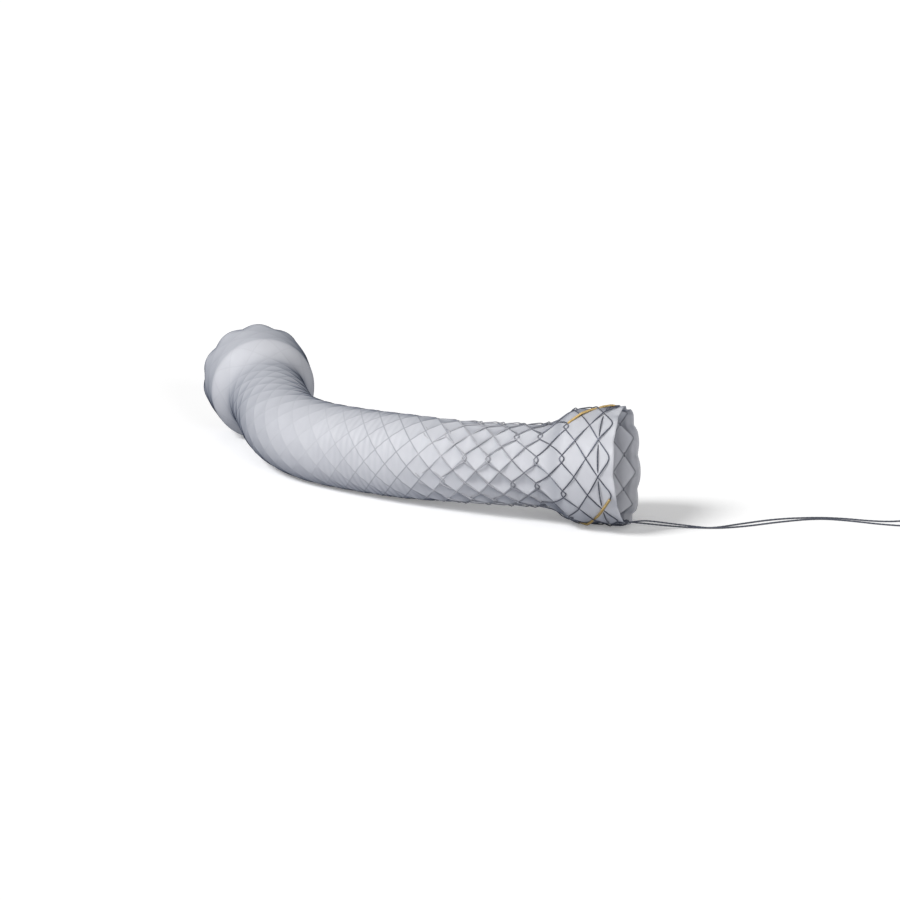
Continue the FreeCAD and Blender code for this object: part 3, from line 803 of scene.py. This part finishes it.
# Marker coils
# Columns of the hooks that the marked legs start from
MARKER_COLUMNS = (-4, 4, 10)
MARKER_SIDES = 12
MARKER_STEPS = 8
WINDING_STEPS = 5
# Depth of the groove between two windings, as a share of a winding's width
WINDING_GROOVE = 0.35


def marker_stops(tube, far, column):
    """Stops of the head wire's leg that carries a marker, from its hook to its rim bend."""
    rows, direction = np.arange(tube.head, -1, -1), -1
    if far:
        rows, direction = tube.last - rows, 1
    hooked = np.zeros(len(rows), int)
    hooked[[0, -1]] = 1
    going = np.full(len(rows), direction)
    going[0] = -direction
    columns = np.arange(column, column + len(rows))
    stops = wire_stops(tube, np.stack([rows, columns, going, hooked], axis=1)).reshape(-1, 3)
    each = 3 + LEG_POINTS
    return stops[2:(len(rows) - 1) * each + 1]


class STENT_OT_markers(bpy.types.Operator):
    """Wind the marker coils: gold wire wound round a leg of a head wire, from its hook to its rim bend."""

    bl_idname = "stent.markers"
    bl_label = "Marker coils"

    def execute(self, context):
        scene = context.scene
        tube = Tube(scene.stent_sizes)
        s = tube.sizes
        material = gold(scene.stent_colours)
        for place, far in (("near", False), ("far", True)):
            for number, column in enumerate(MARKER_COLUMNS, start=1):
                node = f"{place}_marker_coil_{number}"
                path, outward, _ = wire_path(tube, marker_stops(tube, far, column), MARKER_STEPS, False)
                run = run_length(path, False)
                rings = int(run[-1] / s.marker_winding * WINDING_STEPS)
                at = np.linspace(0, run[-1], rings)
                path = np.stack([np.interp(at, run, path[:, k]) for k in range(3)], axis=1)
                outward = unit(np.stack([np.interp(at, run, outward[:, k]) for k in range(3)], axis=1))
                around = 2 * math.pi * np.arange(MARKER_SIDES) / MARKER_SIDES
                # A winding's round back is a cosine of the run, which slips by one winding in a turn
                back = np.abs(np.cos(math.pi * at[:, None] / s.marker_winding - around[None, :] / 2))
                radius = s.marker_diameter / 2 - WINDING_GROOVE * s.marker_winding * (1 - back)
                coil = add_tube(node + "_wound", path, outward, radius, MARKER_SIDES, False, material)
                finish_piece(coil, "gold_marker", node)
        return {"FINISHED"}


# Threads
# How many diameters a strand takes to go half round the braid, and its ridge as a share of the radius
BRAID_LAY = 3.0
BRAID_RIDGE = 0.1
SUTURE_SIDES = 10
STRING_SIDES = 12
# The suture at a crossing, under the wires, and how much higher it comes out in the middle of a cell
SUTURE_SUNK = -0.43 * MM
SUTURE_SHOWN = 0.38 * MM
STITCH_STEPS = 40
TIE_STEPS = 16
KNOT_STEPS = 96
KNOT_THICKNESS = 1.4
TAIL_STEPS = 12
# Ends of the knot's tails from its middle in millimetres, and how far their middle is bowed up
TAIL_ENDS = ((-1.9, -0.2, 0.35), (-1.5, -0.7, -0.45))
TAIL_BOW = 0.12 * MM


def braid(run, sides, diameter):
    """Radius of a braided thread: the higher of two opposed families of strands, each a cosine ridge."""
    around = 2 * math.pi * np.arange(sides) / sides
    lay = 2 * math.pi * run[:, None] / (BRAID_LAY * diameter)
    right = np.cos(2 * around[None, :] + lay)
    left = np.cos(2 * around[None, :] - lay)
    return diameter / 2 * (1 + BRAID_RIDGE * (np.maximum(right, left) - 1))


def add_thread(name, path, outward, diameter, sides, closed, material):
    """Braided thread carried along a path."""
    run = run_length(path, closed)
    if closed:
        run = run[:-1]
    return add_tube(name, path, outward, braid(run, sides, diameter), sides, closed, material)


class STENT_OT_suture(bpy.types.Operator):
    """Stitch the purse suture round the near mouth, tie it and knot it to the string."""

    bl_idname = "stent.suture"
    bl_label = "Purse suture and knot"

    def execute(self, context):
        scene = context.scene
        tube = Tube(scene.stent_sizes)
        s = tube.sizes
        material = thread(scene.stent_colours)
        # Over the cover in each cell's middle, through it and under the wires at each crossing
        column = np.arange(tube.columns * STITCH_STEPS) / STITCH_STEPS
        lift = SUTURE_SUNK + SUTURE_SHOWN * np.abs(np.cos(math.pi * column / 2))
        row = float(tube.row_distance(np.array(SUTURE_ROW)))
        angle = tube.column_angle(column)
        path = tube.at(row, angle, tube.mean_radius(row) + lift)
        ring = add_thread("suture_ring", path, tube.outward(row, angle), s.suture_diameter, SUTURE_SIDES,
                          True, material)
        # The tie leaves the ring at its notch and goes over the edge to the knot: distance, angle and lift
        end, end_angle, end_radius = knot_place(tube)
        notch = tube.column_angle(TIE_COLUMN)
        ends = np.array([
            [row + 0.3 * MM, notch, -0.30 * MM],
            [row - 0.5 * MM, notch, 0.02 * MM],
            [row - 1.6 * MM, notch, 0.05 * MM],
            [0.9 * MM, notch + 0.01, 0.0],
            [0.1 * MM, notch + 0.45 * KNOT_TURN, -0.2 * MM],
            [end, end_angle, end_radius - tube.mean_radius(end)],
        ])
        path, outward, _ = wire_path(tube, ends, TIE_STEPS, False)
        tie = add_thread("suture_tie", path, outward, s.suture_diameter, SUTURE_SIDES, False, material)
        finish_piece(join("purse_suture_stitched", [ring, tie]), "suture", "purse_suture")
        finish_piece(self.make_knot(s, material), "suture", "string_knot")
        return {"FINISHED"}

    def make_knot(self, sizes, material):
        """Overhand knot pulled tight.

        It is a trefoil line: sine t plus twice sine 2t across, cosine t less twice cosine 2t up, and
        sine 3t through it."""
        middle, reach = knot_ball()
        t = 2 * math.pi * np.arange(KNOT_STEPS) / KNOT_STEPS
        line = np.stack([np.sin(t) + 2 * np.sin(2 * t), KNOT_THICKNESS * np.sin(3 * t),
                         np.cos(t) - 2 * np.cos(2 * t)], axis=1)
        path = middle + line * (reach - sizes.string_diameter / 2) / 3
        # Outward from the middle, and a little aside so that no such vector lies along the line
        outward = unit(line + [0.01, 0.02, 0.03])
        loop = add_thread("knot_loop", path, outward, sizes.string_diameter, SUTURE_SIDES, True, material)
        tails = []
        for aim in TAIL_ENDS:
            end = middle + np.array(aim) * MM
            bow = middle + 0.5 * (end - middle) + np.array([0, 0, TAIL_BOW])
            path = curve_through(np.array([middle, bow, end]), TAIL_STEPS, False)
            tails.append(add_thread("knot_tail", path, np.tile(UP, (len(path), 1)), sizes.suture_diameter,
                                    SUTURE_SIDES, False, material))
        return join("string_knot_tied", [loop, *tails])


# Retrieval string
# Control points of its route in metres: it comes down from the knot, lies on the table and goes back up
STRING_LIE = 0.2 * MM
STRING_ROUTE = [
    (0.0660, -0.0199, 0.0028), (0.0677, -0.0168, 0.0021), (0.0699, -0.0135, 0.0012),
    (0.0730, -0.0107, 0.0005), (0.0778, -0.0091, STRING_LIE), (0.0828, -0.0042, STRING_LIE),
    (0.0880, 0.0036, STRING_LIE), (0.0940, 0.0104, STRING_LIE), (0.1006, 0.0120, STRING_LIE),
    (0.1066, 0.0124, STRING_LIE), (0.1119, 0.0137, STRING_LIE), (0.1153, 0.0150, STRING_LIE),
    (0.1172, 0.0172, STRING_LIE), (0.1166, 0.0199, STRING_LIE), (0.1140, 0.0208, STRING_LIE),
    (0.1114, 0.0192, STRING_LIE), (0.1086, 0.0159, STRING_LIE), (0.1044, 0.0141, STRING_LIE),
    (0.0986, 0.0132, STRING_LIE), (0.0932, 0.0110, STRING_LIE), (0.0864, 0.0054, STRING_LIE),
    (0.0812, -0.0026, STRING_LIE), (0.0775, -0.0090, STRING_LIE), (0.0728, -0.0110, STRING_LIE),
    (0.0692, -0.0134, 0.0006), (0.0666, -0.0168, 0.0014), (0.0647, -0.0201, 0.0022),
]
# Directions in which its two ends leave the knot
LEAVING = (0.68, 0.66, -0.3)
COMING_BACK = (-0.02, 0.95, -0.3)
KNOT_CLEARANCE = 0.05 * MM
ROUTE_STEPS = 24
STRING_STEP = 0.16 * MM


class STENT_OT_string(bpy.types.Operator):
    """Lay the retrieval string: one braided loop from the knot over the table and back."""

    bl_idname = "stent.string"
    bl_label = "Retrieval string"

    def execute(self, context):
        scene = context.scene
        diameter = scene.stent_sizes.string_diameter
        middle, reach = knot_ball()
        first = middle + unit(np.array(LEAVING)) * (reach + KNOT_CLEARANCE)
        last = middle + unit(np.array(COMING_BACK)) * (reach + KNOT_CLEARANCE)
        corners = np.array([first, *STRING_ROUTE, last])
        route = bpy.data.curves.new("string_route", "CURVE")
        route.dimensions = "3D"
        route.resolution_u = ROUTE_STEPS
        spline = route.splines.new("NURBS")
        spline.points.add(len(corners) - 1)
        spline.points.foreach_set("co", np.append(corners, np.ones((len(corners), 1)), axis=1).ravel())
        spline.order_u = 3
        spline.use_endpoint_u = True
        holder = bpy.data.objects.new("string_route", route)
        line = bpy.data.meshes.new_from_object(holder)
        path = np.zeros(len(line.vertices) * 3)
        line.vertices.foreach_get("co", path)
        path = path.reshape(-1, 3)
        bpy.data.objects.remove(holder)
        bpy.data.meshes.remove(line)
        run = run_length(path, False)
        at = np.linspace(0, run[-1], int(run[-1] / STRING_STEP))
        even = np.stack([np.interp(at, run, path[:, k]) for k in range(3)], axis=1)
        string = add_thread("retrieval_string_braided", even, np.tile(UP, (len(even), 1)), diameter,
                            STRING_SIDES, False, thread(scene.stent_colours))
        finish_piece(string, "suture", "retrieval_string")
        return {"FINISHED"}


# Stage
WHITE = (1.0, 1.0, 1.0, 1.0)
FLOOR_HALF = 6.0
CAMERA_PLACE = (0.25754, -0.47729, 0.13116)
CAMERA_LOOK = (-0.44764, 0.86551, -0.22475)
CAMERA_ROLL = math.radians(0.888)
CAMERA_LENS = 98.35
CAMERA_SENSOR = 36.0
CAMERA_CLIP = (0.01, 20.0)
KEY_FROM = (-0.36, -0.64, 0.68)
KEY_SPREAD = math.radians(20)
KEY_LEVEL = 2.2
FILL_FROM = (0.75, -0.62, 0.25)
FILL_LEVEL = 0.95
AMBIENT_LEVEL = 0.3
# What lifts the floor to full white for the eye, past what the lamps give it
FLOOR_GLOW = 0.2


class STENT_OT_stage(bpy.types.Operator):
    """Set the stage: pale floor, soft lamps, white surroundings and the photo's viewing angle."""

    bl_idname = "stent.stage"
    bl_label = "Stage"

    def execute(self, context):
        scene = context.scene
        scene.view_settings.view_transform = "Standard"
        self.make_floor(scene)
        self.make_world(scene)
        self.make_lamp("key", KEY_FROM, KEY_SPREAD, KEY_LEVEL)
        self.make_lamp("fill", FILL_FROM, KEY_SPREAD, FILL_LEVEL)
        camera = bpy.data.cameras.new("camera")
        camera.lens = CAMERA_LENS
        camera.sensor_width = CAMERA_SENSOR
        camera.clip_start, camera.clip_end = CAMERA_CLIP
        view = bpy.data.objects.new("camera", camera)
        scene.collection.objects.link(view)
        look = Vector(CAMERA_LOOK).normalized()
        turn = look.to_track_quat("-Z", "Y").to_matrix() @ Matrix.Rotation(CAMERA_ROLL, 3, "Z")
        view.matrix_world = Matrix.Translation(CAMERA_PLACE) @ turn.to_4x4()
        scene.camera = view
        return {"FINISHED"}

    def make_floor(self, scene):
        """Flat pale floor; the camera sees its paint at full white, and its shadows stay."""
        corners = [(x * FLOOR_HALF, y * FLOOR_HALF, 0.0) for x, y in ((-1, -1), (1, -1), (1, 1), (-1, 1))]
        mesh = bpy.data.meshes.new("floor")
        mesh.from_pydata(corners, [], [(0, 1, 2, 3)])
        floor = bpy.data.objects.new("floor", mesh)
        scene.collection.objects.link(floor)
        # Matt laminate: smooth pale melamine, with fine speckle 1.5 mm across
        material, tree = new_material("laminate_matt")
        place = add_node(tree, "TexCoord").outputs["Object"]
        speckle = add_node(tree, "TexNoise", {"Vector": place, "Scale": 1 / (1.5 * MM), "Detail": 1.0})
        paint = tuple(scene.stent_colours.floor)
        darker = tuple(0.99 * part for part in paint)
        tint = add_node(tree, "Mix", {"Factor": speckle, "A": paint, "B": darker}, data_type="RGBA")
        seen = add_node(tree, "LightPath").outputs["Is Camera Ray"]
        white = add_node(tree, "Mix", {"Factor": seen, "A": tint, "B": WHITE}, data_type="RGBA")
        matt = add_node(tree, "BsdfDiffuse", {"Color": white})
        level = add_node(tree, "Math", {0: seen, 1: FLOOR_GLOW}, operation="MULTIPLY")
        glow = add_node(tree, "Emission", {"Color": WHITE, "Strength": level})
        shader = add_node(tree, "AddShader", {0: matt, 1: glow})
        add_node(tree, "OutputMaterial", {"Surface": shader})
        mesh.materials.append(material)

    def make_world(self, scene):
        """White surroundings for the eye, for gloss and through clear things, and a softer light."""
        world = bpy.data.worlds.new("surroundings")
        world.use_nodes = True
        tree = world.node_tree
        tree.nodes.clear()
        ray = add_node(tree, "LightPath").outputs
        seen = add_node(tree, "Math", {0: ray["Is Camera Ray"], 1: ray["Is Glossy Ray"]}, operation="ADD")
        seen = add_node(tree, "Math", {0: seen, 1: ray["Is Transmission Ray"]}, operation="ADD",
                        use_clamp=True)
        level = add_node(tree, "MapRange", {"Value": seen, "To Min": AMBIENT_LEVEL})
        light = add_node(tree, "Background", {"Color": WHITE, "Strength": level})
        add_node(tree, "OutputWorld", {"Surface": light})
        scene.world = world

    def make_lamp(self, name, place, spread, level):
        """Broad soft lamp, far away, that shines from a place towards the stent."""
        lamp = bpy.data.lights.new(name, "SUN")
        lamp.angle = spread
        lamp.energy = level
        holder = bpy.data.objects.new(name, lamp)
        holder.location = place
        holder.rotation_euler = (-Vector(place)).to_track_quat("-Z", "Y").to_euler()
        bpy.context.scene.collection.objects.link(holder)


OPERATORS = (STENT_OT_stage, STENT_OT_suture, STENT_OT_string, STENT_OT_cover, STENT_OT_wires,
             STENT_OT_markers)


class STENT_PT_panel(bpy.types.Panel):
    """Lists the stent's pieces, sizes and colours."""

    bl_idname = "STENT_PT_panel"
    bl_label = "Covered Stent"
    bl_space_type = "VIEW_3D"
    bl_region_type = "UI"
    bl_category = "Covered Stent"

    def draw(self, context):
        layout = self.layout
        for operator in OPERATORS:
            layout.operator(operator.bl_idname)
        for group in (context.scene.stent_sizes, context.scene.stent_colours):
            box = layout.box()
            for name in group.__annotations__:
                box.prop(group, name)


CLASSES = (StentSizes, StentColours, *OPERATORS, STENT_PT_panel)


def register():
    for item in CLASSES:
        bpy.utils.register_class(item)
    bpy.types.Scene.stent_sizes = PointerProperty(type=StentSizes)
    bpy.types.Scene.stent_colours = PointerProperty(type=StentColours)


def unregister():
    del bpy.types.Scene.stent_colours
    del bpy.types.Scene.stent_sizes
    for item in reversed(CLASSES):
        bpy.utils.unregister_class(item)


def main():
    """Makes every piece in order; the CAD parts that they stand for stay in the scene, hidden."""
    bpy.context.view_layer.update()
    register()
    for operator in OPERATORS:
        group, name = operator.bl_idname.split(".")
        getattr(getattr(bpy.ops, group), name)()


if __name__ == "__main__":
    main()
